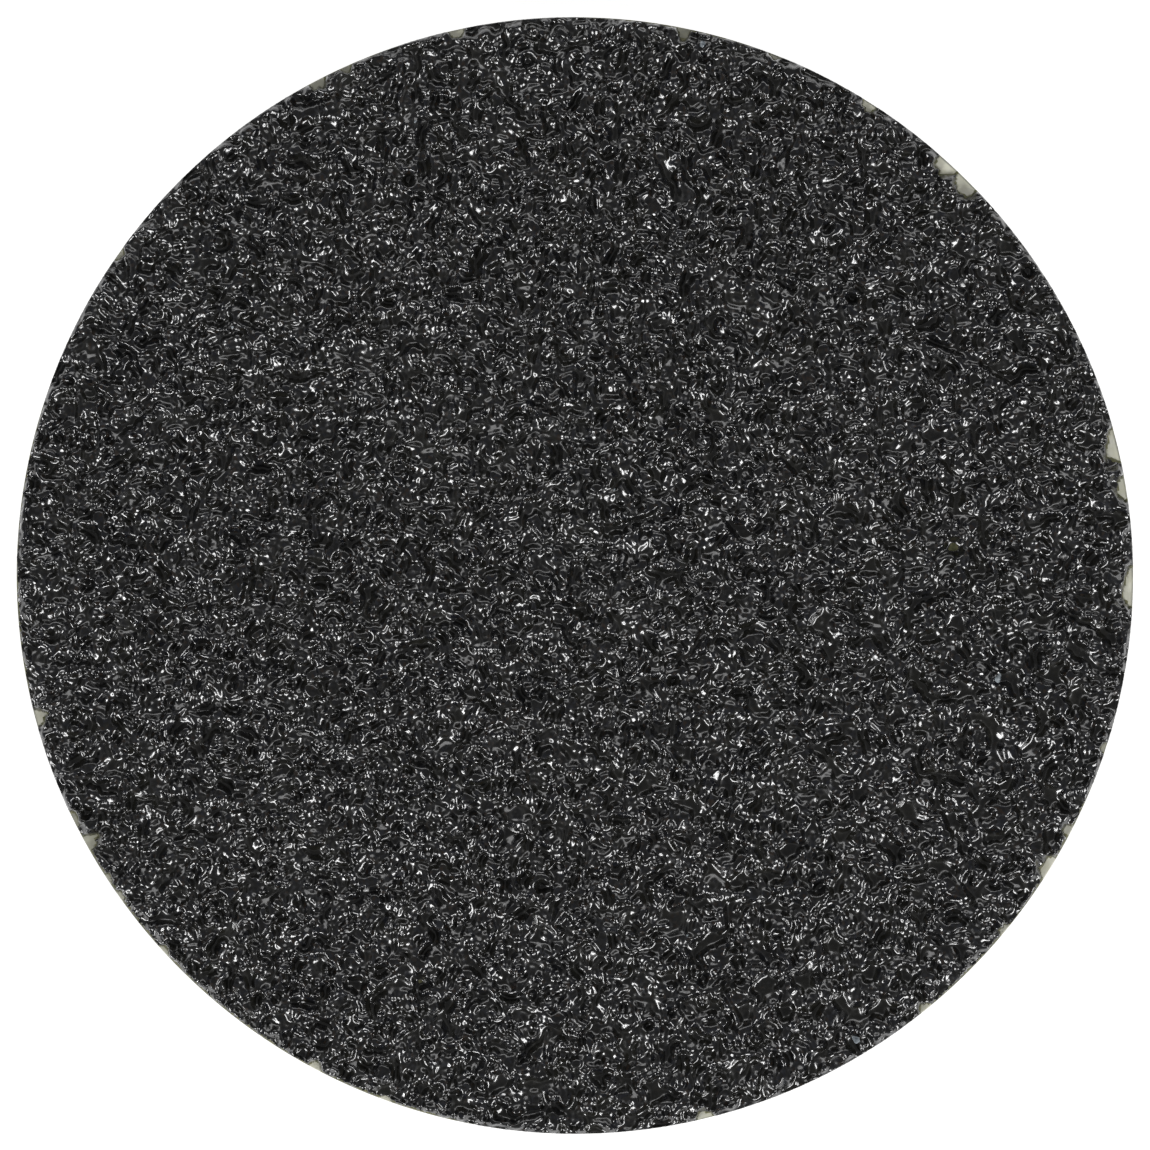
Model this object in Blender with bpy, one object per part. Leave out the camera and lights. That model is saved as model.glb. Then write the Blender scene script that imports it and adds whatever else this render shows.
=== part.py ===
# Coated-abrasive disc for the backing pad of an angle grinder: coarse silicon carbide on cloth, loop backed.
# Metres, +Z up. The disc lies on its loops, with the loop face at z = 0 and the grit face up.

import math

import bmesh
import bpy
from mathutils import Matrix, Vector

# Overall size
disc_radius = 0.0625
rim_segments = 144

# Thickness of each layer, from the loops up
loop_pile_height = 0.0008
knit_ground_thickness = 0.0003
adhesive_thickness = 0.00012
back_size_thickness = 0.00008
cloth_thickness = 0.0007
front_fill_thickness = 0.00006
make_coat_thickness = 0.00022
grain_height = 0.0007
size_coat_thickness = 0.00015

# The bond between two layers is left as a glue line, open at the rim
glue_line = 0.00002

# How far the die and handling leave each layer short of the cloth's cut edge
front_fill_setback = 0.00005
make_coat_setback = 0.00012
grain_setback = 0.00025
pile_edge_radius = 0.00035
grain_edge_chamfer = 0.0003
edge_steps = 3

# Places at the rim where grit and resin broke away in die cutting and bare the cloth:
# angle in degrees from +X, width along the rim and depth from the rim
rim_chips = (
    (47.9, 0.0022, 0.0017),
    (45.15, 0.0025, 0.0017),
    (58.0, 0.0011, 0.0010),
    (13.7, 0.0033, 0.0012),
    (9.1, 0.0020, 0.0009),
    (-1.1, 0.0039, 0.0011),
    (-31.6, 0.0020, 0.0009),
    (-151.2, 0.0016, 0.0016),
    (-165.1, 0.0014, 0.0012),
    (117.6, 0.0013, 0.0010),
    (102.3, 0.0013, 0.0008),
    (78.7, 0.0011, 0.0012),
)
chip_sides = 10
chip_margin = 0.0005  # how far a chip's cutter runs past the layer's two faces


def clear_scene():
    for old in list(bpy.data.objects):
        bpy.data.objects.remove(old)


def new_collection(name):
    collection = bpy.data.collections.new(name)
    bpy.context.scene.collection.children.link(collection)
    return collection


def new_material(name, colour, roughness, metallic=0.0):
    material = bpy.data.materials.new(name)
    material.use_nodes = True
    shader = material.node_tree.nodes["Principled BSDF"]
    shader.inputs["Base Color"].default_value = (*colour, 1.0)
    shader.inputs["Roughness"].default_value = roughness
    shader.inputs["Metallic"].default_value = metallic
    return material


def loop_nylon():
    return new_material("loop_nylon", (0.62, 0.61, 0.58), 0.85)


def knit_nylon():
    return new_material("knit_nylon", (0.52, 0.51, 0.48), 0.8)


def hot_melt():
    return new_material("hot_melt", (0.66, 0.60, 0.44), 0.4)


def back_filler():
    return new_material("back_filler", (0.45, 0.38, 0.24), 0.6)


def cream_cloth():
    return new_material("cream_cloth", (0.69, 0.62, 0.47), 0.9)


def stained_filler():
    return new_material("stained_filler", (0.22, 0.23, 0.12), 0.5)


def dark_resin():
    return new_material("dark_resin", (0.030, 0.029, 0.020), 0.2)


def silicon_carbide():
    return new_material("silicon_carbide", (0.020, 0.020, 0.022), 0.25, 0.1)


def gloss_resin():
    return new_material("gloss_resin", (0.018, 0.018, 0.016), 0.08)


def object_from(bm, name, collection, material=None):
    bmesh.ops.recalc_face_normals(bm, faces=bm.faces)
    mesh = bpy.data.meshes.new(name)
    bm.to_mesh(mesh)
    bm.free()
    piece = bpy.data.objects.new(name, mesh)
    collection.objects.link(piece)
    if material:
        mesh.materials.append(material)
    return piece


def round_layer(name, radius, bottom, thickness, collection, material):
    # A die-cut round of one layer, from z = bottom up
    bm = bmesh.new()
    bmesh.ops.create_cone(
        bm,
        cap_ends=True,
        segments=rim_segments,
        radius1=radius,
        radius2=radius,
        depth=thickness,
    )
    piece = object_from(bm, name, collection, material)
    piece.location.z = bottom + thickness / 2
    return piece


def ease_rim(piece, at_top, width, steps):
    # Rounds or chamfers the rim's edge on the layer's top or bottom face
    half = max(vertex.co.z for vertex in piece.data.vertices)
    ring_height = half if at_top else -half
    bm = bmesh.new()
    bm.from_mesh(piece.data)
    rim = [
        edge
        for edge in bm.edges
        if all(math.isclose(end.co.z, ring_height, abs_tol=half / 100) for end in edge.verts)
    ]
    bmesh.ops.bevel(
        bm,
        geom=rim,
        offset=width,
        offset_type="OFFSET",
        segments=steps,
        profile=0.5,
        affect="EDGES",
    )
    bm.to_mesh(piece.data)
    bm.free()


def smooth_rim(piece):
    piece.data.shade_smooth()
    piece.data.set_sharp_from_angle(angle=math.radians(30))


def chip_cutter(bottom, top, collection):
    # One upright prism for each chip, with an uneven oval outline centred on the cloth's cut edge
    bm = bmesh.new()
    middle = (bottom + top) / 2
    height = top - bottom + 2 * chip_margin
    for number, (degrees, width, depth) in enumerate(rim_chips):
        turn = Matrix.Rotation(math.radians(degrees), 4, "Z")
        place = turn @ Matrix.Translation((disc_radius, 0.0, middle))
        oval = Matrix.Diagonal((depth, width / 2, 1.0, 1.0))
        made = bmesh.ops.create_cone(
            bm,
            cap_ends=True,
            segments=chip_sides,
            radius1=1.0,
            radius2=1.0,
            depth=height,
        )
        for vertex in made["verts"]:
            around = math.atan2(vertex.co.y, vertex.co.x)
            uneven = 1.0 + 0.14 * math.sin(3.0 * around + 1.7 * number)
            flat = Vector((vertex.co.x * uneven, vertex.co.y * uneven, vertex.co.z))
            vertex.co = place @ oval @ flat
    cutter = object_from(bm, "rim_chip_cutter", collection)
    cutter.hide_render = True
    cutter.display_type = "WIRE"
    return cutter


def cut_chips(piece, cutter):
    cut = piece.modifiers.new("rim chips", "BOOLEAN")
    cut.operation = "DIFFERENCE"
    cut.solver = "EXACT"
    cut.object = cutter


def loop_pile(bottom, collection):
    piece = round_layer("loop_pile", disc_radius, bottom, loop_pile_height, collection, loop_nylon())
    ease_rim(piece, False, min(pile_edge_radius, loop_pile_height / 2), edge_steps)
    return piece


def loop_knit_ground(bottom, collection):
    return round_layer(
        "loop_knit_ground", disc_radius, bottom, knit_ground_thickness, collection, knit_nylon()
    )


def laminating_adhesive(bottom, collection):
    return round_layer(
        "laminating_adhesive", disc_radius, bottom, adhesive_thickness, collection, hot_melt()
    )


def back_size_coat(bottom, collection):
    return round_layer(
        "back_size_coat", disc_radius, bottom, back_size_thickness, collection, back_filler()
    )


def backing_cloth(bottom, collection):
    return round_layer(
        "backing_cloth", disc_radius, bottom, cloth_thickness, collection, cream_cloth()
    )


def front_fill_coat(bottom, collection):
    radius = disc_radius - front_fill_setback
    return round_layer(
        "front_fill_coat", radius, bottom, front_fill_thickness, collection, stained_filler()
    )


def make_coat(bottom, collection):
    radius = disc_radius - make_coat_setback
    return round_layer("make_coat", radius, bottom, make_coat_thickness, collection, dark_resin())


def grain_layer(bottom, collection):
    radius = disc_radius - grain_setback
    piece = round_layer("grain_layer", radius, bottom, grain_height, collection, silicon_carbide())
    ease_rim(piece, True, min(grain_edge_chamfer, grain_height / 2), 1)
    return piece


def size_coat(bottom, collection):
    # The coat covers the grain tops, so it ends where the grain layer's chamfer begins
    radius = disc_radius - grain_setback - min(grain_edge_chamfer, grain_height / 2)
    return round_layer("size_coat", radius, bottom, size_coat_thickness, collection, gloss_resin())


def build():
    clear_scene()
    parts = new_collection("abrasive_disc")
    cutters = new_collection("cutters")

    # Each layer starts one glue line above the one below it
    backing = (
        (loop_pile, loop_pile_height),
        (loop_knit_ground, knit_ground_thickness),
        (laminating_adhesive, adhesive_thickness),
        (back_size_coat, back_size_thickness),
        (backing_cloth, cloth_thickness),
    )
    coating = (
        (front_fill_coat, front_fill_thickness),
        (make_coat, make_coat_thickness),
        (grain_layer, grain_height),
        (size_coat, size_coat_thickness),
    )
    level = 0.0
    for make_piece, thickness in backing:
        smooth_rim(make_piece(level, parts))
        level += thickness + glue_line

    coated = []
    coating_bottom = level
    for make_piece, thickness in coating:
        piece = make_piece(level, parts)
        smooth_rim(piece)
        coated.append(piece)
        level += thickness + glue_line

    cutter = chip_cutter(coating_bottom, level - glue_line, cutters)
    for piece in coated:
        cut_chips(piece, cutter)


build()
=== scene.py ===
import math

import bpy
import numpy as np
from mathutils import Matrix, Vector


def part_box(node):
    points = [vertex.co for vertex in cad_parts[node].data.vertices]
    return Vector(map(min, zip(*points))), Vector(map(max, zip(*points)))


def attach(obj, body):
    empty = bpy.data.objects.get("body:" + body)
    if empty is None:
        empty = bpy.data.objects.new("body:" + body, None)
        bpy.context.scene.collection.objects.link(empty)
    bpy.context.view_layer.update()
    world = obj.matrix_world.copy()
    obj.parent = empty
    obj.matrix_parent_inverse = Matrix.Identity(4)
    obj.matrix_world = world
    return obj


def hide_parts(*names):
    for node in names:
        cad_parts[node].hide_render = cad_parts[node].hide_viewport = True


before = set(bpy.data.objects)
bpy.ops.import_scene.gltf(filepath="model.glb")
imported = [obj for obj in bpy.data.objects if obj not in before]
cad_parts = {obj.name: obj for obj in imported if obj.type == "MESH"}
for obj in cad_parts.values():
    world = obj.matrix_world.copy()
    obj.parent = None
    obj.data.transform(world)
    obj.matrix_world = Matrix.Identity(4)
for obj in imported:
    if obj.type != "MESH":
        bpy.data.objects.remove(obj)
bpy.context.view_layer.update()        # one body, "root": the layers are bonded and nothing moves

mm = 0.001
fullTurn = 2 * math.pi
print("frame loaded:", len(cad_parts), "layers")


def layerSpan(node):
    low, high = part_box(node)
    return low[2], high[2]


# radius and heights, all read from the layers
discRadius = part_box("backing_cloth")[1][0]
pileLow, pileTop = layerSpan("loop_pile")
clothLow, clothTop = layerSpan("backing_cloth")
fillLow, fillTop = layerSpan("front_fill_coat")
makeLow = layerSpan("make_coat")[0]

# the cut edge, all widths and depths in mm
rimShape = {
    "trim": 0.03,
    # where the round is a little flat: direction in degrees, half width in radians, depth
    "flats": ((42, 0.42, 0.20), (226, 0.45, 0.10)),
    # where the coating ends short of the cloth: middle and half width in degrees, extra setback
    "shyEdges": (
        (170.0, 9.0, 0.10), (183.5, 4.0, 0.17), (190.5, 2.0, 0.15), (-146.0, 6.0, 0.26),
        (-135.5, 5.0, 0.18), (-125.0, 6.0, 0.17), (-110.0, 8.0, 0.20), (-45.0, 7.0, 0.19),
        (-30.0, 7.0, 0.20), (114.0, 6.0, 0.08), (80.0, 9.0, 0.12),
    ),
    "setback": 0.01,
    "jag": 0.010, "shyJag": 0.35,    # waviness everywhere, and the share of the extra setback added to it
    "mostSetback": 0.6,
    "jagWaves": range(60, 900, 23),
    "jagFall": 0.4,
    "seed": 31,
}

# places at the rim where grit and resin broke away
chips = {
    # angle in degrees, width and depth in mm, how far resin soaked into the bared cloth from 0 to 1
    "places": (
        (47.9, 2.4, 1.8, 0.0), (45.15, 2.9, 1.9, 0.0), (58.0, 1.5, 1.2, 0.2), (13.7, 3.6, 1.35, 0.02),
        (9.1, 2.5, 1.15, 0.05), (-1.1, 4.3, 1.15, 0.02), (-31.6, 2.6, 1.1, 0.08), (-151.2, 1.8, 1.6, 0.50),
        (-165.1, 1.8, 1.4, 0.15), (117.6, 1.7, 1.2, 0.35), (102.3, 1.7, 1.0, 0.10), (78.7, 1.5, 1.3, 0.55),
        (114.3, 1.2, 0.9, 0.5), (144.8, 1.5, 0.7, 0.4), (-154.0, 1.7, 0.7, 0.5), (-147.0, 1.3, 0.7, 0.3),
        (-144.8, 1.3, 0.7, 0.2), (-137.6, 1.4, 0.8, 0.2), (-117.8, 1.4, 1.0, 0.15), (-109.8, 1.3, 0.7, 0.2),
        (-76.4, 1.7, 0.9, 0.2), (-51.0, 1.4, 0.8, 0.25), (-27.2, 1.2, 1.1, 0.2), (-18.0, 1.0, 0.7, 0.3),
        (-39.5, 1.3, 0.7, 0.2), (69.0, 1.6, 0.6, 0.3),
    ),
    "halves": ((-0.30, 0.78), (0.34, 0.66)),         # each chip is two polygons: shift and size
    "sides": (-12.0, 38.0, 88.0, 142.0, 192.0),      # directions of a polygon's sides in degrees
    "reaches": (1.0, 1.05, 1.25, 1.05, 1.0),         # how far out each side lies
    "turned": 16,                                    # degrees that a side may turn
    "reachSpread": (0.84, 1.14),
    "ragged": 0.03,                                  # how far the edge waves, as a share of the chip
    "raggedWaves": (9, 11),                          # radians per mm along x and along y
    "seed": 100,
    "lookAcross": 2.2, "lookInward": 3.2,            # how many widths and depths off a chip is still felt
}


def softStep(x, low, high):
    # 0 below low, 1 above high, 3t^2 - 2t^3 between
    t = np.clip((x - low) / (high - low), 0.0, 1.0)
    return t * t * (3.0 - 2.0 * t)


def softMax(a, b, k):
    # k ln(e^(a/k) + e^(b/k)): the higher of two surfaces with a fillet of about k between them
    top = np.maximum(a, b)
    return top + k * np.log(np.exp((a - top) / k) + np.exp((b - top) / k))


def softened(field, reach):
    # the field under a Gaussian of that reach, in cells
    down = np.fft.fftfreq(field.shape[0])[:, None]
    over = np.fft.rfftfreq(field.shape[1])[None]
    gain = np.exp(-2.0 * (math.pi * reach) ** 2 * (down**2 + over**2))
    return np.fft.irfft2(np.fft.rfft2(field) * gain, s=field.shape)


def bandNoise(draw, cells, cellSize, wavelength, spread):
    # noise whose waves are all about one length: random numbers filtered by a log-normal ring
    down = np.fft.fftfreq(cells, cellSize)[:, None]
    over = np.fft.rfftfreq(cells, cellSize)[None]
    pitch = np.hypot(down, over) * wavelength + 1e-9
    gain = np.exp(-0.5 * (np.log(pitch) / spread) ** 2)
    field = np.fft.irfft2(np.fft.rfft2(draw.standard_normal((cells, cells))) * gain, s=(cells, cells))
    return (field - field.mean()) / field.std()


def ringNoise(draw, angle, waves, fall):
    # a sum of cosines round the rim, so it closes on itself, weaker by count^(fall / 2)
    total = np.zeros_like(angle)
    for count in waves:
        total += draw.normal() * np.cos(count * angle + draw.uniform(0, fullTurn)) / count ** (fall / 2)
    return total / max(total.std(), 1e-9)


def turnFrom(angle, degrees):
    # the angle measured from a direction, from -pi to pi
    return np.angle(np.exp(1j * (angle - math.radians(degrees))))


def rimRadius(angle):
    # a circle less a Gaussian dip at each flat
    radius = discRadius - rimShape["trim"] * mm
    for degrees, half, depth in rimShape["flats"]:
        radius = radius - depth * mm * np.exp(-((turnFrom(angle, degrees) / half) ** 2))
    return radius


def shyExtra(angle):
    # how much further than usual the coating ends from the rim, in mm: flat-topped bumps e^(-t^4)
    extra = np.zeros_like(angle)
    for middle, half, more in rimShape["shyEdges"]:
        extra += more * np.exp(-((np.degrees(turnFrom(angle, middle)) / half) ** 4))
    return extra


def coatingRadius(angle):
    # the rim less the setback of the coating, which grows and waves along the shy stretches
    shape = rimShape
    jag = ringNoise(np.random.default_rng(shape["seed"]), angle, shape["jagWaves"], shape["jagFall"])
    shy = shyExtra(angle)
    back = shape["setback"] + shy + (shape["jag"] + shape["shyJag"] * shy) * jag
    return rimRadius(angle) - mm * np.clip(back, 0.0, shape["mostSetback"])


def chipField(x, y):
    # for each chip the distance to two overlapping polygons, 1 on their edge: the least over all chips,
    # and the soak of the chip it belongs to
    angle, radius = np.arctan2(y, x), np.hypot(x, y)
    least, soak = np.full(x.shape, 9.0), np.zeros(x.shape)
    inward = (discRadius - radius) / mm
    count = len(chips["sides"])
    for number, (degrees, width, depth, clothDarkening) in enumerate(chips["places"]):
        draw = np.random.default_rng(chips["seed"] + number)
        across = turnFrom(angle, degrees) * discRadius / mm
        near = (np.abs(across) < width * chips["lookAcross"]) & (inward < depth * chips["lookInward"])
        a, i = across[near] / (width / 2), inward[near] / depth
        found = np.full(a.shape, 9.0)
        for shift, size in chips["halves"]:
            turned = draw.uniform(-chips["turned"], chips["turned"], count)
            ways = np.radians(np.array(chips["sides"]) + turned)
            reach = draw.uniform(*chips["reachSpread"], count) * size * np.array(chips["reaches"])
            sides = [((a - shift) * math.cos(w) + i * math.sin(w)) / r for w, r in zip(ways, reach)]
            found = np.minimum(found, np.max(sides, axis=0))
        alongX, alongY = chips["raggedWaves"]
        found += chips["ragged"] * np.sin(x[near] / mm * alongX + number)
        found += chips["ragged"] * np.sin(y[near] / mm * alongY - number)
        closer = found < least[near]
        least[near] = np.where(closer, found, least[near])
        soak[near] = np.where(closer, clothDarkening, soak[near])
    return least, soak


def putMesh(name, points, faceSets, smooth=True):
    # one mesh from an array of points and arrays of faces, each with its own number of sides
    loops = np.concatenate([f.ravel() for f in faceSets]).astype(np.int32)
    sides = np.concatenate([np.full(len(f), f.shape[1]) for f in faceSets])
    starts = np.concatenate([[0], np.cumsum(sides)[:-1]]).astype(np.int32)
    mesh = bpy.data.meshes.new(name)
    mesh.vertices.add(len(points))
    mesh.vertices.foreach_set("co", np.ascontiguousarray(points, np.float32).ravel())
    mesh.loops.add(len(loops))
    mesh.loops.foreach_set("vertex_index", loops)
    mesh.polygons.add(len(starts))
    mesh.polygons.foreach_set("loop_start", starts)
    mesh.polygons.foreach_set("use_smooth", np.full(len(starts), smooth))
    mesh.update(calc_edges=True)
    piece = bpy.data.objects.new(name, mesh)
    bpy.context.scene.collection.objects.link(piece)
    return piece


def declare(piece, material, slot, *nodes):
    # the finish, the body and the layers that a piece stands for
    piece.data.materials.append(material)
    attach(piece, "root")
    if nodes:
        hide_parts(*nodes)


def putValues(piece, name, values):
    layer = piece.data.attributes.new(name, "FLOAT", "POINT")
    layer.data.foreach_set("value", np.ascontiguousarray(values, np.float32))


def putMap(piece, perPoint):
    # a UV map from two numbers at each point
    loops = np.empty(len(piece.data.loops), np.int32)
    piece.data.loops.foreach_get("vertex_index", loops)
    layer = piece.data.uv_layers.new(name="OFBake")
    layer.data.foreach_set("uv", np.ascontiguousarray(perPoint[loops], np.float32).ravel())


def gridQuads(rows, columns, wraps=False):
    # the quads of a grid of points, row by row
    r = np.arange(rows - 1)[:, None]
    c = np.arange(columns if wraps else columns - 1)[None]
    here = r * columns + c
    beside = r * columns + (c + 1) % columns
    return np.stack([here, beside, beside + columns, here + columns], -1).reshape(-1, 4)


def turnedSkin(radii, heights, angle):
    # rings x = r cos, y = r sin, z = height, one for each row of radii and heights, with a pole at each end
    x, y = radii * np.cos(angle), radii * np.sin(angle)
    rings = np.stack([x, y, np.broadcast_to(heights, x.shape)], -1)
    rows, columns = x.shape
    poles = [[0, 0, rings[0, :, 2].mean()], [0, 0, rings[-1, :, 2].mean()]]
    points = np.concatenate([rings.reshape(-1, 3), poles])
    around = np.arange(columns)
    after = (around + 1) % columns
    end = (rows - 1) * columns
    topLid = np.stack([around, after, np.full(columns, rows * columns)], -1)
    lowLid = np.stack([end + after, end + around, np.full(columns, rows * columns + 1)], -1)
    quads = gridQuads(rows, columns, True)[:, ::-1]
    return points, [quads, np.concatenate([topLid, lowLid])]


def newMaterial(name):
    material = bpy.data.materials.new(name)
    material.use_nodes = True
    tree = material.node_tree
    return material, tree, tree.nodes["Principled BSDF"]


def objectPlace(tree):
    return tree.nodes.new("ShaderNodeTexCoord").outputs["Object"]


def noiseField(tree, place, scale, detail=3.0, roughness=0.55):
    node = tree.nodes.new("ShaderNodeTexNoise")
    node.inputs["Scale"].default_value = scale
    node.inputs["Detail"].default_value = detail
    node.inputs["Roughness"].default_value = roughness
    tree.links.new(place, node.inputs["Vector"])
    return node.outputs["Fac"]


def putIn(tree, socket, value):
    # a link where the value is a socket, else a fixed number, vector or colour; None leaves it alone
    if isinstance(value, bpy.types.NodeSocket):
        tree.links.new(value, socket)
    elif value is not None:
        socket.default_value = (*value, 1.0) if socket.type == "RGBA" else value


def mixColours(tree, factor, colourA, colourB):
    node = tree.nodes.new("ShaderNodeMix")
    node.data_type = "RGBA"
    putIn(tree, node.inputs["Factor"], factor)
    putIn(tree, node.inputs["A"], colourA)
    putIn(tree, node.inputs["B"], colourB)
    return node.outputs["Result"]


def mapped(tree, value, fromLow, fromHigh, toLow, toHigh):
    node = tree.nodes.new("ShaderNodeMapRange")
    node.inputs["From Min"].default_value = fromLow
    node.inputs["From Max"].default_value = fromHigh
    node.inputs["To Min"].default_value = toLow
    node.inputs["To Max"].default_value = toHigh
    tree.links.new(value, node.inputs["Value"])
    return node.outputs["Result"]


def twoTone(tree, field, colourA, colourB):
    # the first colour where the noise is low, the second where it is high
    return mixColours(tree, mapped(tree, field, 0.35, 0.65, 0.0, 1.0), colourA, colourB)


def attributeValue(tree, name):
    node = tree.nodes.new("ShaderNodeAttribute")
    node.attribute_name = name
    return node.outputs["Fac"]


def maths(tree, operation, a, b):
    node = tree.nodes.new("ShaderNodeMath")
    node.operation = operation
    putIn(tree, node.inputs[0], a)
    putIn(tree, node.inputs[1], b)
    return node.outputs["Value"]


def vectorMaths(tree, operation, a, b=None, scale=None):
    node = tree.nodes.new("ShaderNodeVectorMath")
    node.operation = operation
    putIn(tree, node.inputs[0], a)
    putIn(tree, node.inputs[1], b)
    putIn(tree, node.inputs[3], scale)
    return node.outputs["Vector"]


def bumpNormal(tree, height, strength, distance):
    node = tree.nodes.new("ShaderNodeBump")
    node.inputs["Strength"].default_value = strength
    node.inputs["Distance"].default_value = distance
    tree.links.new(height, node.inputs["Height"])
    return node.outputs["Normal"]


gritLook = {
    "black": (0.0040, 0.0040, 0.0045),
    "blue": (0.007, 0.008, 0.012),
    "brown": (0.020, 0.012, 0.007),
    "olive": (0.0125, 0.0122, 0.0092),
    # a facet turns blue or brown as its random shade, 0 to 1, passes from the first number to the second
    "blueFrom": (0.72, 0.80), "brownFrom": (0.92, 0.95), "brownMost": 0.8,
    "wetFrom": (0.35, 0.65), "wetShare": (0.2, 1.0), "tintScale": 260.0,
    "facetSize": 0.34 * mm,
    "facetLean": 0.2,
    "roughness": (0.16, 0.42),
    "baseIor": 1.5,
    "coatRoughness": 0.12,
    "coatIor": 1.55,
    "rippleSize": 0.5 * mm,
    "ripple": 0.012,       # mm, unevenness of the resin over the grains
}


def coatedGrit():
    # black carbide under clear-brown resin: a faceted base below, a smooth wet coat above
    look = gritLook
    material, tree, shader = newMaterial("coated_grit")
    place = objectPlace(tree)
    pool = attributeValue(tree, "pool")
    tint = noiseField(tree, place, look["tintScale"], 2.0)
    cells = tree.nodes.new("ShaderNodeTexVoronoi")
    cells.inputs["Scale"].default_value = 1.0 / look["facetSize"]
    tree.links.new(place, cells.inputs["Vector"])
    shade = tree.nodes.new("ShaderNodeSeparateColor")
    tree.links.new(cells.outputs["Color"], shade.inputs["Color"])
    blue = mapped(tree, shade.outputs["Red"], *look["blueFrom"], 0.0, 1.0)
    brown = mapped(tree, shade.outputs["Green"], *look["brownFrom"], 0.0, look["brownMost"])
    wet = maths(tree, "MULTIPLY", pool, mapped(tree, tint, *look["wetFrom"], *look["wetShare"]))
    colour = mixColours(tree, blue, look["black"], look["blue"])
    colour = mixColours(tree, brown, colour, look["brown"])
    colour = mixColours(tree, wet, colour, look["olive"])
    tree.links.new(colour, shader.inputs["Base Color"])
    rough = mapped(tree, shade.outputs["Blue"], 0.0, 1.0, *look["roughness"])
    tree.links.new(rough, shader.inputs["Roughness"])
    # each facet leans its own way, except in the pools
    dry = maths(tree, "SUBTRACT", 1.0, pool)
    lean = maths(tree, "MULTIPLY", dry, look["facetLean"])
    off = vectorMaths(tree, "SUBTRACT", cells.outputs["Color"], (0.5, 0.5, 0.5))
    off = vectorMaths(tree, "SCALE", off, scale=lean)
    ground = tree.nodes.new("ShaderNodeNewGeometry")
    leaning = vectorMaths(tree, "NORMALIZE", vectorMaths(tree, "ADD", ground.outputs["Normal"], off))
    tree.links.new(leaning, shader.inputs["Normal"])
    ripple = noiseField(tree, place, 1.0 / look["rippleSize"], 1.0)
    relief = maths(tree, "MULTIPLY", maths(tree, "MULTIPLY", ripple, look["ripple"]), dry)
    tree.links.new(bumpNormal(tree, relief, 1.0, mm), shader.inputs["Coat Normal"])
    shader.inputs["IOR"].default_value = look["baseIor"]
    shader.inputs["Coat Weight"].default_value = 1.0
    shader.inputs["Coat Roughness"].default_value = look["coatRoughness"]
    shader.inputs["Coat IOR"].default_value = look["coatIor"]
    return material


clothLook = {
    "cream": (0.86, 0.85, 0.68),
    "pale": (0.96, 0.95, 0.82),
    "stainAndDarkRim": (0.045, 0.050, 0.020),
    "stainFrom": (0.3, 0.6), "stainShare": (0.6, 1.0),    # the stain and the dark rim are patchy with the mottling
    "mottleScale": 900.0,
    "fibreScale": 9000.0,
    "fibreRelief": 0.03 * mm, "fibreBump": 0.6,
    "roughness": 0.88,
    "sheen": 0.25,
    "sheenRoughness": 0.5,
}


def creamCloth():
    # unbleached cloth: yarn-scale mottling, olive where resin soaked in round the chips, and dark olive
    # along the very rim
    look = clothLook
    material, tree, shader = newMaterial("cream_cloth")
    place = objectPlace(tree)
    mottle = noiseField(tree, place, look["mottleScale"], 4.0)
    fine = noiseField(tree, place, look["fibreScale"], 3.0, 0.7)
    patchy = mapped(tree, mottle, *look["stainFrom"], *look["stainShare"])
    stainAndDarkRim = maths(tree, "MULTIPLY", attributeValue(tree, "stainAndDarkRim"), patchy)
    colour = twoTone(tree, mottle, look["cream"], look["pale"])
    colour = mixColours(tree, stainAndDarkRim, colour, look["stainAndDarkRim"])
    tree.links.new(colour, shader.inputs["Base Color"])
    shader.inputs["Roughness"].default_value = look["roughness"]
    shader.inputs["Sheen Weight"].default_value = look["sheen"]
    shader.inputs["Sheen Roughness"].default_value = look["sheenRoughness"]
    relief = bumpNormal(tree, fine, look["fibreBump"], look["fibreRelief"])
    tree.links.new(relief, shader.inputs["Normal"])
    return material


def plainLayer(name, dark, pale, scale, roughness, bump):
    # a thin layer seen only as a line at the rim: two tones by noise and a little unevenness
    material, tree, shader = newMaterial(name)
    field = noiseField(tree, objectPlace(tree), scale, 4.0)
    colour = twoTone(tree, field, dark, pale)
    rough = mapped(tree, field, 0.3, 0.7, roughness * 0.85, roughness * 1.15)
    tree.links.new(colour, shader.inputs["Base Color"])
    tree.links.new(rough, shader.inputs["Roughness"])
    tree.links.new(bumpNormal(tree, field, 0.5, bump), shader.inputs["Normal"])
    return material


gritFace = {
    "cells": 870,          # quads across the face
    "skirt": 4,            # extra rows that turn down to the cloth at the rim
    "tiles": 3,            # pieces both ways, so that each stays light
    "raster": 2200,        # cells across the height raster
    "span": 126.6,         # mm
    "seed": 5,
    # grains, all in mm before the relief factor; lean in degrees
    "spacing": 0.62, "rowPitch": 0.87, "grainRadius": 0.40, "radiusSpread": 0.28,
    "planes": 6, "sideTurn": 0.3, "sideReach": (0.30, 0.55), "sideSlope": (0.9, 2.6),
    "grainLean": 40, "grainJitter": 0.11, "grainRise": 0.08, "topDrop": 0.02, "poolSink": 0.30,
    "noGrain": -0.5,       # the level where no grain reaches
    "batch": 8000,         # grains worked out together
    # wavelengths of the crowding of grains and their spread: fine to the left, coarse to the lower right
    "fineWaves": (2.6, 1.3), "coarseWaves": (3.8, 1.7), "waveSpread": (0.30, 0.25),
    "largeShare": 0.8, "smallShare": 0.7,
    "coarseLean": 0.55, "coarseBand": (-0.25, 0.55),
    "swell": (6.0, 0.45), "swellRise": 0.02,
    "edge": (-0.55, -0.05), "inset": (-0.28, 0.20),
    "step": 0.30, "poolFloor": 0.015, "poolDrop": 0.20, "poolSoftness": 2.0, "fillet": 0.04, "film": 3.9,
    "relief": 3.45,
    "ceiling": 1.12, "ceilingEase": 0.06,    # mm, where the tallest grains level off
    "bed": 0.09,           # mm from the make coat's underside to the pools
}

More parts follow.
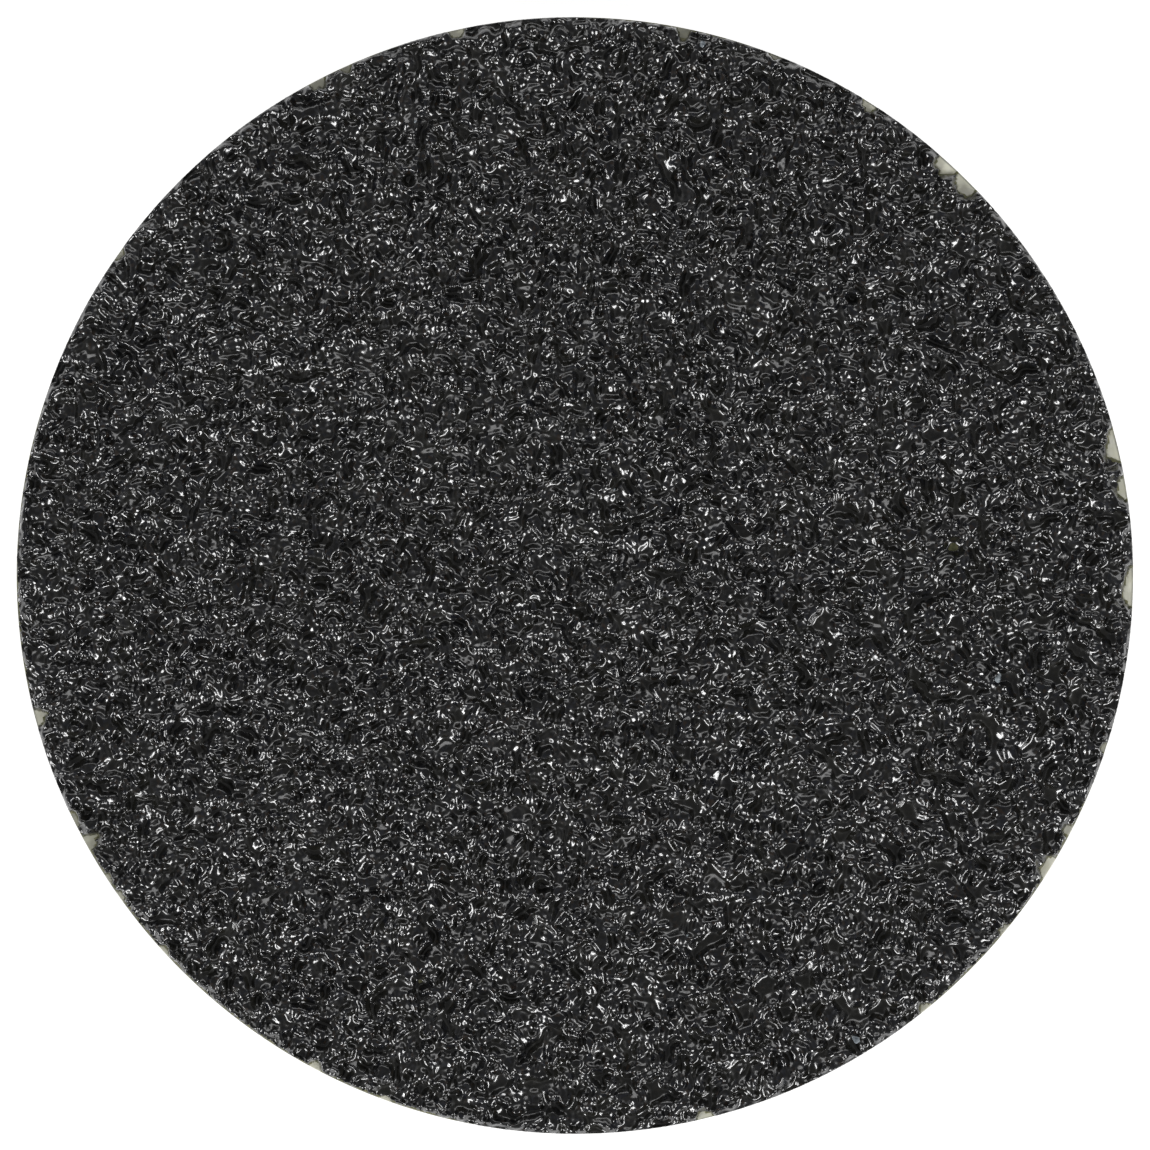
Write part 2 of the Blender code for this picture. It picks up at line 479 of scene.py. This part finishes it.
# how the die leaves the coating at the rim: mm, but for pressed and lean, which are shares
gritRim = {
    "sag": 0.10, "sagFrom": 0.8,
    "pressedTo": 0.45, "pressed": 0.75, "pressFrom": 0.45, "pressEnds": 0.05,
    "lean": 0.18, "leanFrom": 1.5,
    # towards a chip: the share of its height that the coating keeps, where it starts to thin and where its
    # wall begins, in chipField's measure, and how far the face sinks into the chip in mm
    "chipHeight": 0.38, "chipThinFrom": 1.5, "chipWall": 1.10, "chipFloor": 0.15,
    "skirtFoot": 0.02,
}


def grainTops(draw, cells, cellSize, plate, inset):
    # each grain is the lowest of a leaning top plane and six side planes, top - slope x (outward - reach),
    # and the highest grain wins
    spec = gritFace
    pitchX, pitchY = spec["spacing"], spec["spacing"] * spec["rowPitch"]
    gx, gy = np.meshgrid(np.arange(int(spec["span"] / pitchX)), np.arange(int(spec["span"] / pitchY)))
    x = (gx + 0.5 * (gy % 2) + draw.uniform(-0.5, 0.5, gx.shape)).ravel() * pitchX
    y = (gy + draw.uniform(-0.5, 0.5, gx.shape)).ravel() * pitchY
    ix = np.clip((x / cellSize).astype(int), 0, cells - 1)
    iy = np.clip((y / cellSize).astype(int), 0, cells - 1)
    count, planes = x.size, spec["planes"]
    radius = spec["grainRadius"] * np.exp(draw.normal(0, spec["radiusSpread"], count))
    standing = inset[iy, ix]
    top = spec["step"] * plate[iy, ix] - spec["topDrop"] - spec["poolSink"] * (1.0 - standing)
    top += standing * draw.normal(spec["grainRise"], spec["grainJitter"], count)
    turn, leanWay = draw.uniform(0, fullTurn, (2, count))
    lean = np.tan(np.radians(draw.uniform(0, spec["grainLean"], count)))
    sideTurn = draw.uniform(-spec["sideTurn"], spec["sideTurn"], (planes, count))
    sideReach = draw.uniform(*spec["sideReach"], (planes, count)) * radius
    sideSlope = draw.uniform(*spec["sideSlope"], (planes, count))
    reach = int(math.ceil(spec["grainRadius"] * 2.0 / cellSize))
    oy, ox = np.mgrid[-reach:reach + 1, -reach:reach + 1]
    out = np.full(cells * cells, spec["noGrain"], np.float32)
    for start in range(0, count, spec["batch"]):
        part = slice(start, min(count, start + spec["batch"]))

        def column(values):
            return values[part, None].astype(np.float32)

        cellX, cellY = ix[part, None] + ox.ravel(), iy[part, None] + oy.ravel()
        dx = ((cellX + 0.5) * cellSize - x[part, None]).astype(np.float32)
        dy = ((cellY + 0.5) * cellSize - y[part, None]).astype(np.float32)
        height = column(top) - column(lean) * (column(np.cos(leanWay)) * dx + column(np.sin(leanWay)) * dy)
        for side in range(planes):
            way = turn + sideTurn[side] + fullTurn * side / planes
            outward = column(np.cos(way)) * dx + column(np.sin(way)) * dy
            slope = column(sideSlope[side])
            height = np.minimum(height, column(top) - slope * (outward - column(sideReach[side])))
        index = (cellY % cells) * cells + cellX % cells
        np.maximum.at(out, index.ravel(), height.ravel())
    return out.reshape(cells, cells)


def gritHeights():
    # clusters of grains stand on a plateau whose edge is a meniscus down to the resin pools:
    # height = relief x softened(the higher of grains and resin), levelled off at the ceiling
    spec = gritFace
    draw = np.random.default_rng(spec["seed"])
    cells, cellSize = spec["raster"], spec["span"] / spec["raster"]
    largeSpread, smallSpread = spec["waveSpread"]
    fields = []
    for large, small in (spec["fineWaves"], spec["coarseWaves"]):
        field = spec["largeShare"] * bandNoise(draw, cells, cellSize, large, largeSpread)
        fields.append(field + spec["smallShare"] * bandNoise(draw, cells, cellSize, small, smallSpread))
    across = (np.arange(cells) + 0.5) / cells - 0.5
    coarse = softStep(across[None] - spec["coarseLean"] * across[:, None], *spec["coarseBand"])
    crowd = fields[0] * (1.0 - coarse) + fields[1] * coarse
    crowd /= np.sqrt((1.0 - coarse) ** 2 + coarse**2)
    wide = bandNoise(draw, cells, cellSize, *spec["swell"])
    plate = softStep(crowd, *spec["edge"])
    inset = softStep(crowd, *spec["inset"])
    grains = grainTops(draw, cells, cellSize, plate, inset)
    resin = spec["swellRise"] * wide + spec["step"] * plate - spec["poolDrop"] * inset + spec["poolFloor"]
    height = spec["relief"] * softened(softMax(grains, resin, spec["fillet"]), spec["film"])
    height = -softMax(-height, np.full_like(height, -spec["ceiling"]), spec["ceilingEase"])
    pool = softened(1.0 - inset, spec["poolSoftness"])
    return height, pool


def sampled(raster, x, y):
    # bilinear look-up at places in metres
    cells = gritFace["raster"]
    size = gritFace["span"] * mm / cells
    fx = np.clip(x / size + cells / 2 - 0.5, 0, cells - 1.001)
    fy = np.clip(y / size + cells / 2 - 0.5, 0, cells - 1.001)
    ix, iy = fx.astype(int), fy.astype(int)
    tx, ty = fx - ix, fy - iy
    low = raster[iy, ix] * (1 - tx) + raster[iy, ix + 1] * tx
    high = raster[iy + 1, ix] * (1 - tx) + raster[iy + 1, ix + 1] * tx
    return low * (1 - ty) + high * ty


def squareToDisc(u, v):
    # concentric squares become circles: the radius is the larger coordinate, and the angle away from it is
    # 45 degrees x smaller / larger
    radius = np.where(np.abs(u) > np.abs(v), u, v)
    safe = np.where(radius == 0, 1, radius)
    angle = np.where(np.abs(u) > np.abs(v), math.pi / 4 * v / safe, math.pi / 2 - math.pi / 4 * u / safe)
    return radius * np.cos(angle), radius * np.sin(angle)


def rimmed(radius, x, y, z):
    # the die presses the outermost millimetre down and rounds it over, what still stands up leans inwards,
    # and the coating thins towards each chip before it stops
    rim = gritRim
    level = makeLow + rim["pressedTo"] * mm
    z = z - rim["sag"] * mm * softStep(radius, discRadius - rim["sagFrom"] * mm, discRadius)
    press = softStep(radius, discRadius - rim["pressFrom"] * mm, discRadius - rim["pressEnds"] * mm)
    z = z + (level - z) * rim["pressed"] * press
    lean = softStep(radius, discRadius - rim["leanFrom"] * mm, discRadius)
    pulled = 1.0 - rim["lean"] * (z - clothTop) / discRadius * lean
    x, y = x * pulled, y * pulled
    chip = chipField(x, y)[0]
    kept = rim["chipHeight"] + (1 - rim["chipHeight"]) * softStep(chip, 1.0, rim["chipThinFrom"])
    z = clothTop + (z - clothTop) * kept
    bared = 1.0 - softStep(chip, 1.0, rim["chipWall"])
    return x, y, z * (1 - bared) + (clothTop - rim["chipFloor"] * mm) * bared


def makeGritFace():
    # z = the make coat's underside + bed + grit height at (x, y), rimmed, and down to the cloth in the skirt
    spec = gritFace
    height, pool = gritHeights()
    print("grit heights:", round(float(height.min()), 3), "to", round(float(height.max()), 3), "mm")
    total = spec["cells"] + 2 * spec["skirt"]
    line = (np.arange(total + 1) - total / 2) / (spec["cells"] / 2)
    u, v = np.meshgrid(line, line)
    unitX, unitY = squareToDisc(u, v)
    past = np.maximum(np.abs(u), np.abs(v))
    angle = np.arctan2(unitY, unitX)
    down = np.clip((past - 1.0) / (spec["skirt"] * 2 / spec["cells"]), 0.0, 1.0)
    radius = np.minimum(past, 1.0) * coatingRadius(angle)
    x, y = radius * np.cos(angle), radius * np.sin(angle)
    x, y, z = rimmed(radius, x, y, makeLow + mm * (spec["bed"] + sampled(height, x, y)))
    z = z * (1 - down) + (clothTop - gritRim["skirtFoot"] * mm) * down
    poolAt = np.clip(sampled(pool, x, y), 0, 1)
    points = np.stack([x, y, z], -1)
    bounds = [int(round(total / spec["tiles"] * k)) for k in range(spec["tiles"] + 1)]
    cuts = [slice(low, high + 1) for low, high in zip(bounds, bounds[1:])]
    material = coatedGrit()
    for number, (rows, columns) in enumerate([(r, c) for r in cuts for c in cuts]):
        block = points[rows, columns]
        tall, wide = block.shape[:2]
        piece = putMesh(f"grit_face_{number + 1}", block.reshape(-1, 3), [gridQuads(tall, wide)])
        putValues(piece, "pool", poolAt[rows, columns].ravel())
        gv, gu = np.mgrid[0:tall, 0:wide]
        putMap(piece, np.stack([gu / (wide - 1), gv / (tall - 1)], -1).reshape(-1, 2))
        declare(piece, material, "gloss_resin", "size_coat", "grain_layer", "make_coat")
        print("grit face: tile", number + 1, "has", len(piece.data.polygons) * 2, "triangles")


clothSheet = {
    "segments": 1600,
    # radii of the rings in mm: a few inside, many at the rim
    "inner": (8.0, 40.0, 57.5),
    "rim": (58.3, 62.3, 28),
    "bottom": (60.0, 30.0, 8.0),
    "rimFree": 0.12,
    "yarnPitch": 0.42 * mm, "yarnWidth": 0.49,
    "relief": 0.05 * mm,
    # the cut edge: mm in from the rim and share of the way down; the cut yarns' ends stand out a little
    "wall": ((0.03, 0.02), (0.0, 0.2), (0.0, 0.5), (0.0, 0.8), (0.03, 0.98)),
    "yarnEnds": 0.03,
    # how far in from the rim the cloth is darker, where that fades out along the shy stretches, and the soak
    # round the chips
    "rimDark": (0.05, 0.22), "rimDarkEnds": (0.02, 0.10), "chipSoak": (0.8, 0.88, 1.02),
    "sideSoak": 0.3, "sideFrom": 0.1,
}


def weave(x, y, pitch):
    # plain weave: each yarn is sqrt(1 - (offset / half)^2) times a sine along it, and the higher yarn shows
    half = clothSheet["yarnWidth"]
    u, v = x / pitch, y / pitch
    roundU = np.sqrt(np.clip(1 - ((u - np.floor(u) - 0.5) / half) ** 2, 0, 1))
    roundV = np.sqrt(np.clip(1 - ((v - np.floor(v) - 0.5) / half) ** 2, 0, 1))
    warp = roundU * (0.5 + 0.5 * np.sin(math.pi * v) * (-1.0) ** np.floor(u))
    weft = roundV * (0.5 - 0.5 * np.sin(math.pi * u) * (-1.0) ** np.floor(v))
    return np.maximum(warp, weft)


def clothDarkening(x, y, z):
    # resin soaked in round each chip; the cloth is also darker along the very rim, except where the cut edge
    # shows pale
    spec = clothSheet
    chip, soak = chipField(x, y)
    turn = np.arctan2(y, x)
    inward = (rimRadius(turn) - np.hypot(x, y)) / mm
    # the cloth is darker along the very rim, but not along the shy stretches
    atRim = 1.0 - softStep(inward, *spec["rimDark"])
    rimDark = atRim * (1.0 - softStep(shyExtra(turn), *spec["rimDarkEnds"]))
    most, low, high = spec["chipSoak"]
    stainAndDarkRim = np.maximum(np.maximum(soak, most * softStep(chip, low, high)), rimDark)
    return np.where(z < clothTop - spec["sideFrom"] * mm, spec["sideSoak"], stainAndDarkRim)


def makeCloth():
    # rings of the woven top, z = top - relief + relief x weave, then the cut edge and a flat bottom
    spec = clothSheet
    pitch, relief = spec["yarnPitch"], spec["relief"]
    angle = np.linspace(0, fullTurn, spec["segments"], endpoint=False)[None]
    rim = rimRadius(angle)
    topRadii = np.concatenate([np.array(spec["inner"]), np.linspace(*spec["rim"])]) * mm
    rows = [np.minimum(r, rim - spec["rimFree"] * mm) * np.ones_like(angle) for r in topRadii]
    woven = [weave(r * np.cos(angle), r * np.sin(angle), pitch) for r in rows]
    heights = [clothTop - relief + relief * level for level in woven]
    ends = 0.5 + 0.5 * np.cos(angle * discRadius / pitch * fullTurn)
    for pull, share in spec["wall"]:
        standing = spec["yarnEnds"] * mm if 0.1 < share < 0.9 else 0
        rows.append(rim - pull * mm - standing * ends)
        heights.append(clothTop + (clothLow - clothTop) * share + 0 * angle)
    for r in spec["bottom"]:
        rows.append(r * mm + 0 * angle)
        heights.append(clothLow + 0 * angle)
    points, faces = turnedSkin(np.concatenate(rows), np.concatenate(heights), angle)
    piece = putMesh("backing_cloth_sheet", points, faces)
    putValues(piece, "stainAndDarkRim", clothDarkening(*points.T))
    declare(piece, creamCloth(), "cream_cloth", "backing_cloth")
    print("cloth:", len(piece.data.polygons), "faces")


thinLayers = {
    # the finish of each layer: dark and pale tone, noise scale, roughness and relief
    "finishes": {
        "stained_filler": ((0.10, 0.11, 0.05), (0.24, 0.23, 0.12), 1500.0, 0.5, 0.02 * mm),
        "back_filler": ((0.40, 0.34, 0.22), (0.52, 0.46, 0.32), 1500.0, 0.6, 0.02 * mm),
        "hot_melt": ((0.60, 0.53, 0.36), (0.72, 0.66, 0.50), 1200.0, 0.35, 0.02 * mm),
        "knit_nylon": ((0.46, 0.45, 0.42), (0.60, 0.59, 0.56), 2600.0, 0.8, 0.04 * mm),
    },
    # the plain rounds: piece, layer, finish, unevenness of the cut edge in mm, seed
    "rounds": (
        ("back_size_film", "back_size_coat", "back_filler", 0.02, 42),
        ("hot_melt_film", "laminating_adhesive", "hot_melt", 0.03, 43),
        ("knit_ground_sheet", "loop_knit_ground", "knit_nylon", 0.04, 44),
    ),
    "segments": 720, "hub": 30 * mm, "bevel": 0.05 * mm,
    "waves": range(20, 240, 7),
    # the filler film under the grit: rings in mm, how far it stays in from the rim, how it dips in a chip
    "filmSegments": 1200,
    "filmRings": (30.0, 57.0, *np.linspace(58.4, 62.1, 13)),
    "filmBack": 0.03, "filmShy": 0.6, "filmStep": 0.06, "filmGone": (0.90, 0.98), "filmDip": 0.20,
}


def makeRound(name, node, unevenness, seed):
    # a closed round with a small bevel; its cut edge is drawn in by a sum of cosines, 0 to 2 unevennesses
    spec = thinLayers
    low, high = layerSpan(node)
    angle = np.linspace(0, fullTurn, spec["segments"], endpoint=False)[None]
    drawnIn = np.clip(0.5 + 0.5 * ringNoise(np.random.default_rng(seed), angle, spec["waves"], 1.0), 0, 2)
    rim = rimRadius(angle) - unevenness * mm * drawnIn
    hub, bevelled = rim * 0 + spec["hub"], rim - spec["bevel"]
    quarter = (high - low) * 0.25
    levels = [high, high, high - quarter, low + quarter, low, low]
    heights = np.concatenate([level + 0 * angle for level in levels])
    points, faces = turnedSkin(np.concatenate([hub, bevelled, rim, rim, bevelled, hub]), heights, angle)
    return putMesh(name, points, faces)


def makeFillFilm(material):
    # the filler under the grit, flat, and sunk into the cloth in each chip, where it stops a little inside
    # the broken edge of the grit
    spec = thinLayers
    angle = np.linspace(0, fullTurn, spec["filmSegments"], endpoint=False)[None]
    edge = rimRadius(angle) - mm * (spec["filmBack"] + spec["filmShy"] * shyExtra(angle))
    rings = np.array(spec["filmRings"]) * mm
    rows = [np.minimum(r, edge - spec["filmStep"] * mm) * np.ones_like(angle) for r in rings]
    radii = np.concatenate(rows + [edge, edge, rings[1] + 0 * angle, rings[0] + 0 * angle])
    heights = np.where(np.arange(len(radii))[:, None] <= len(rings), fillTop, fillLow) + 0 * radii
    chip = chipField(radii * np.cos(angle), radii * np.sin(angle))[0]
    heights -= spec["filmDip"] * mm * (1.0 - softStep(chip, *spec["filmGone"]))
    points, faces = turnedSkin(radii, heights, angle)
    piece = putMesh("front_fill_film", points, faces)
    declare(piece, material, "stained_filler", "front_fill_coat")


def makeThinLayers():
    finishes = {name: plainLayer(name, *tones) for name, tones in thinLayers["finishes"].items()}
    makeFillFilm(finishes["stained_filler"])
    rounds = {}
    for name, node, finish, unevenness, seed in thinLayers["rounds"]:
        rounds[name] = makeRound(name, node, unevenness, seed)
        declare(rounds[name], finishes[finish], finish, node)
    print("thin layers: filler film and", len(rounds), "rounds")


napLook = {
    "yarn": (0.50, 0.49, 0.45),
    "yarnPale": (0.68, 0.67, 0.63),
    "mottleScale": 1400.0, "filamentScale": 16000.0, "filamentRelief": 0.01 * mm,
    "roughness": 0.55, "sheen": 0.35, "sheenRoughness": 0.4,
    "seed": 77,
    # the loops; lengths in mm
    "loops": 5000, "rimLoops": 640,
    "rimBand": (0.35, 0.75),
    "thick": 0.055,        # half the yarn's thickness
    "span": (0.45, 0.85),  # half the distance between a loop's feet
    "rimSpan": 0.7,        # share of the span that loops at the rim have
    "drop": (0.52, 0.74), "slant": 0.18, "scatter": 0.02, "arch": 0.7, "rooted": 0.04,
    "rimGap": 0.02, "floorGap": 0.003,
    "sides": 3, "steps": 5,
}


def napYarn():
    # off-white nylon yarn: soft mottling, a sheen and fine filaments as bump
    look = napLook
    material, tree, shader = newMaterial("loop_nylon")
    place = objectPlace(tree)
    field = noiseField(tree, place, look["mottleScale"])
    fine = noiseField(tree, place, look["filamentScale"], 2.0, 0.6)
    colour = twoTone(tree, field, look["yarn"], look["yarnPale"])
    tree.links.new(colour, shader.inputs["Base Color"])
    shader.inputs["Roughness"].default_value = look["roughness"]
    shader.inputs["Sheen Weight"].default_value = look["sheen"]
    shader.inputs["Sheen Roughness"].default_value = look["sheenRoughness"]
    tree.links.new(bumpNormal(tree, fine, 0.5, look["filamentRelief"]), shader.inputs["Normal"])
    return material


def makeLoops(material):
    # each loop is an arch of yarn hanging from the knit, a three-sided tube along -cos t x half its span
    # and down sin(t)^arch x drop, t from 0 to pi; the loops are spread by the golden angle
    look = napLook
    draw = np.random.default_rng(look["seed"])
    count, atRim = look["loops"], look["rimLoops"]
    order = np.arange(count)
    edge = slice(count - atRim, count)
    radius = np.sqrt((order + 0.5) / count) * (discRadius - look["rimBand"][1] * mm)
    angle = order * math.pi * (3 - math.sqrt(5)) + draw.normal(0, look["scatter"], count)
    radius[edge] = discRadius - draw.uniform(*look["rimBand"], atRim) * mm
    heading = draw.uniform(0, fullTurn, count)
    half = draw.uniform(*look["span"], count) * mm
    half[edge] *= look["rimSpan"]
    drop = draw.uniform(*look["drop"], count) * mm
    slant = draw.normal(0, look["slant"], count) * mm
    t = np.linspace(0, math.pi, look["steps"] + 1)[None]
    along, sway = -np.cos(t) * half[:, None], np.sin(t) * slant[:, None]
    ux, uy = np.cos(heading)[:, None], np.sin(heading)[:, None]
    x = (radius * np.cos(angle))[:, None] + along * ux - sway * uy
    y = (radius * np.sin(angle))[:, None] + along * uy + sway * ux
    z = pileTop + look["rooted"] * mm - np.sin(t) ** look["arch"] * drop[:, None]
    path = np.stack([x, y, z], -1)
    ahead = np.gradient(path, axis=1)
    ahead /= np.linalg.norm(ahead, axis=-1, keepdims=True)
    across = np.stack([-uy + 0 * x, ux + 0 * x, 0 * x], -1)
    above = np.cross(ahead, across)
    turns = np.arange(look["sides"]) / look["sides"] * fullTurn
    ring = np.cos(turns)[:, None] * across[:, :, None] + np.sin(turns)[:, None] * above[:, :, None]
    points = path[:, :, None] + ring * look["thick"] * mm
    # nothing stands out past the rim or below the plane that the disc lies on
    far = np.hypot(points[..., 0], points[..., 1])
    points[..., :2] *= np.minimum(1.0, (discRadius - look["rimGap"] * mm) / far)[..., None]
    points[..., 2] = np.maximum(points[..., 2], pileLow + look["floorGap"] * mm)
    stops, sides = look["steps"] + 1, look["sides"]
    quads = gridQuads(stops, sides, True)
    faces = quads[None] + (order * stops * sides)[:, None, None]
    piece = putMesh("loop_nap", points.reshape(-1, 3), [faces.reshape(-1, 4)[:, ::-1]])
    declare(piece, material, "loop_nylon", "loop_pile")
    print("loops:", count, "of", len(quads), "faces")
    return piece


loopMat = {
    "segments": 900,
    "setback": 0.12,
    # the rolled edge in mm: how far in and how far down
    "edge": ((0.25, 0.0), (0.05, 0.0), (0.0, 0.12), (0.06, 0.26), (0.25, 0.34)),
    "top": 40.0, "under": (61.6, 4.0, 19), "depth": 0.36,
    "rib": 0.07, "ribAcross": 1.3, "ribAlong": 2.1, "sway": 0.9,
}


def makeLoopMat(material, loops):
    # the matted foot of the pile, its underside ribbed one way by the knit:
    # rib = sin(2 pi x / across) cos(2 pi y / along + 2 sin(sway x))
    spec = loopMat
    angle = np.linspace(0, fullTurn, spec["segments"], endpoint=False)[None]
    rim = rimRadius(angle) - spec["setback"] * mm
    rings = [(spec["top"] * mm + 0 * angle, 0.0)]
    rings += [(rim - back * mm, fall) for back, fall in spec["edge"]]
    rings += [(r * mm + 0 * angle, spec["depth"]) for r in np.linspace(*spec["under"])]
    radii = np.concatenate([r for r, fall in rings])
    heights = np.concatenate([pileTop - fall * mm + 0 * angle for r, fall in rings])
    x, y = radii * np.cos(angle) / mm, radii * np.sin(angle) / mm
    sway = 2 * np.sin(x * spec["sway"])
    rib = np.sin(x * fullTurn / spec["ribAcross"]) * np.cos(y * fullTurn / spec["ribAlong"] + sway)
    ribbed = softStep(np.arange(len(radii))[:, None], len(spec["edge"]), len(spec["edge"]) + 2)
    points, faces = turnedSkin(radii, heights + spec["rib"] * mm * rib * ribbed, angle)
    piece = putMesh("loop_mat", points, faces)
    declare(piece, material, "loop_nylon", "loop_pile")
    print("loop mat:", len(piece.data.polygons), "faces")


crumbLook = {
    # places and sizes in mm of the pale crumbs that lie in the grit
    "crumbs": (
        (47.2, -11.5, 1.15), (-28.0, 33.5, 0.42), (12.5, -40.2, 0.38), (-44.0, -9.0, 0.36),
        (20.3, 24.8, 0.34), (-9.5, -22.0, 0.32), (35.5, 30.4, 0.36), (-17.8, 50.6, 0.34),
        (4.4, 9.6, 0.30), (-38.2, 27.7, 0.32), (31.4, -51.8, 1.1), (14.2, 59.2, 0.8),
    ),
    "seed": 21,
    "stops": 9, "around": 14, "poleGap": 0.12,
    "planes": 13, "reach": (0.30, 0.52), "most": 0.62, "shape": (1.0, 0.72, 0.55),
    "level": 0.95 * mm,
    "dark": (0.11, 0.13, 0.15), "pale": (0.42, 0.47, 0.50), "scale": 1800.0, "roughness": (0.12, 0.30),
}


def crumbGlass():
    look = crumbLook
    material, tree, shader = newMaterial("pale_crumb")
    field = noiseField(tree, objectPlace(tree), look["scale"], 4.0)
    colour = twoTone(tree, field, look["dark"], look["pale"])
    tree.links.new(colour, shader.inputs["Base Color"])
    tree.links.new(mapped(tree, field, 0.3, 0.7, *look["roughness"]), shader.inputs["Roughness"])
    return material


def makeCrumbs():
    # a few chips of clear, paler abrasive: a ball cut by random planes, radius = min(reach / (way . plane))
    look = crumbLook
    draw = np.random.default_rng(look["seed"])
    stops, around = look["stops"], look["around"]
    lat = np.linspace(look["poleGap"], math.pi - look["poleGap"], stops)[:, None]
    lon = np.linspace(0, fullTurn, around, endpoint=False)[None]
    ball, faceSets = turnedSkin(np.sin(lat) + 0 * lon, np.cos(lat) + 0 * lon, lon)
    ball[-2:, 2] = 1, -1
    points = []
    for px, py, size in look["crumbs"]:
        ways = draw.normal(size=(look["planes"], 3))
        ways /= np.linalg.norm(ways, axis=1, keepdims=True)
        reach = draw.uniform(*look["reach"], look["planes"])
        cut = np.min(reach / np.maximum(ball @ ways.T, 1e-3), axis=1)
        solid = ball * np.minimum(cut, look["most"])[:, None] * np.array(look["shape"]) * size * mm
        spin = draw.uniform(0, fullTurn)
        x = solid[:, 0] * math.cos(spin) - solid[:, 1] * math.sin(spin)
        y = solid[:, 0] * math.sin(spin) + solid[:, 1] * math.cos(spin)
        points.append(np.stack([x + px * mm, y + py * mm, solid[:, 2] + makeLow + look["level"]], -1))
    shifts = np.arange(len(points)) * len(ball)
    faces = [np.concatenate([f + shift for shift in shifts]) for f in faceSets]
    piece = putMesh("pale_crumbs", np.concatenate(points), faces, False)
    declare(piece, crumbGlass(), "silicon_carbide")
    print("crumbs:", len(points))


studio = {
    "lens": 100.0,
    "sensor": 36.0,
    "clip": (0.01, 20.0),
    "frameWidth": 128.62,   # mm of the disc's plane that the camera takes in
    "offCentre": (0.016, 0.052),
    "lightDistance": 0.7,
    # azimuth, elevation, half widths both ways in degrees, and radiance
    "lights": (
        (222.0, 26.0, 15.0, 5.0, 18.0),
        (318.0, 26.0, 15.0, 5.0, 18.0),
        (90.0, 26.0, 40.0, 8.0, 2.4),
    ),
    # height of the direction above the horizon (its sine) and the tent's grey there
    "tent": (
        (0.0, 0.02), (0.14, 0.02), (0.30, 0.14), (0.45, 0.25),
        (0.65, 0.18), (0.85, 0.13), (1.0, 0.11),
    ),
    "backdrop": (0.9, 0.9, 0.9),
    "floorHalf": 4.0, "floorScale": 30.0, "floorRoughness": 0.9,
    "floorGreys": ((0.34, 0.34, 0.34), (0.37, 0.37, 0.37)),
    "floorGlow": 0.88,
}


def makeFloor():
    material, tree, shader = newMaterial("white_floor")
    field = noiseField(tree, objectPlace(tree), studio["floorScale"])
    tree.links.new(mixColours(tree, field, *studio["floorGreys"]), shader.inputs["Base Color"])
    shader.inputs["Roughness"].default_value = studio["floorRoughness"]
    shader.inputs["Emission Color"].default_value = (1, 1, 1, 1)
    shader.inputs["Emission Strength"].default_value = studio["floorGlow"]
    half = studio["floorHalf"]
    corners = np.array([[-half, -half, 0], [half, -half, 0], [half, half, 0], [-half, half, 0]])
    floor = putMesh("floor", corners, [np.array([[0, 1, 2, 3]])])
    floor.data.materials.append(material)


def makeLight(name, azimuth, elevation, halfAcross, halfUp, radiance):
    # an area light whose power follows from its size: radiance times pi times area
    away = studio["lightDistance"]
    light = bpy.data.lights.new(name, "AREA")
    light.shape = "RECTANGLE"
    light.size = 2 * away * math.tan(math.radians(halfAcross))
    light.size_y = 2 * away * math.tan(math.radians(halfUp))
    light.energy = radiance * math.pi * light.size * light.size_y
    lamp = bpy.data.objects.new(name, light)
    a, e = math.radians(azimuth), math.radians(elevation)
    way = Vector((math.cos(a) * math.cos(e), math.sin(a) * math.cos(e), math.sin(e)))
    lamp.location = way * away
    lamp.rotation_mode = "QUATERNION"
    lamp.rotation_quaternion = way.to_track_quat("Z", "Y")
    lamp.visible_camera = False
    bpy.context.scene.collection.objects.link(lamp)


def makeTent():
    # the surroundings: a grey that depends on height alone, which the camera sees as a plain backdrop
    world = bpy.data.worlds.new("tent")
    world.use_nodes = True
    tree = world.node_tree
    way = tree.nodes.new("ShaderNodeTexCoord")
    parts = tree.nodes.new("ShaderNodeSeparateXYZ")
    tree.links.new(way.outputs["Generated"], parts.inputs["Vector"])
    ramp = tree.nodes.new("ShaderNodeValToRGB")
    ramp.color_ramp.interpolation = "EASE"
    stops = studio["tent"]
    while len(ramp.color_ramp.elements) < len(stops):
        ramp.color_ramp.elements.new(0.5)
    for stop, (rise, grey) in zip(ramp.color_ramp.elements, stops):
        stop.position = rise
        stop.color = (grey, grey, grey, 1.0)
    tree.links.new(parts.outputs["Z"], ramp.inputs["Fac"])
    seen = tree.nodes.new("ShaderNodeLightPath")
    tone = mixColours(tree, seen.outputs["Is Camera Ray"], ramp.outputs["Color"], studio["backdrop"])
    tree.links.new(tone, tree.nodes["Background"].inputs["Color"])
    bpy.context.scene.world = world


def makeCamera():
    # straight above the disc, so far off that the frame's width fits the lens
    scene = bpy.context.scene
    camera = bpy.data.cameras.new("camera")
    camera.lens, camera.sensor_width = studio["lens"], studio["sensor"]
    camera.clip_start, camera.clip_end = studio["clip"]
    holder = bpy.data.objects.new("camera", camera)
    distance = studio["frameWidth"] * mm * camera.lens / camera.sensor_width
    aside, up = studio["offCentre"]
    holder.location = (aside * mm, up * mm, clothTop + distance)
    scene.collection.objects.link(holder)
    scene.camera = holder
    scene.view_settings.view_transform = "Standard"


for number, values in enumerate(studio["lights"]):
    makeLight(f"strip_{number + 1}", *values)
makeTent()
makeCamera()
makeFloor()
print("studio:", len(studio["lights"]), "lights, tent, camera and floor")
makeGritFace()
makeCloth()
makeThinLayers()
yarnMaterial = napYarn()
makeLoopMat(yarnMaterial, makeLoops(yarnMaterial))
makeCrumbs()
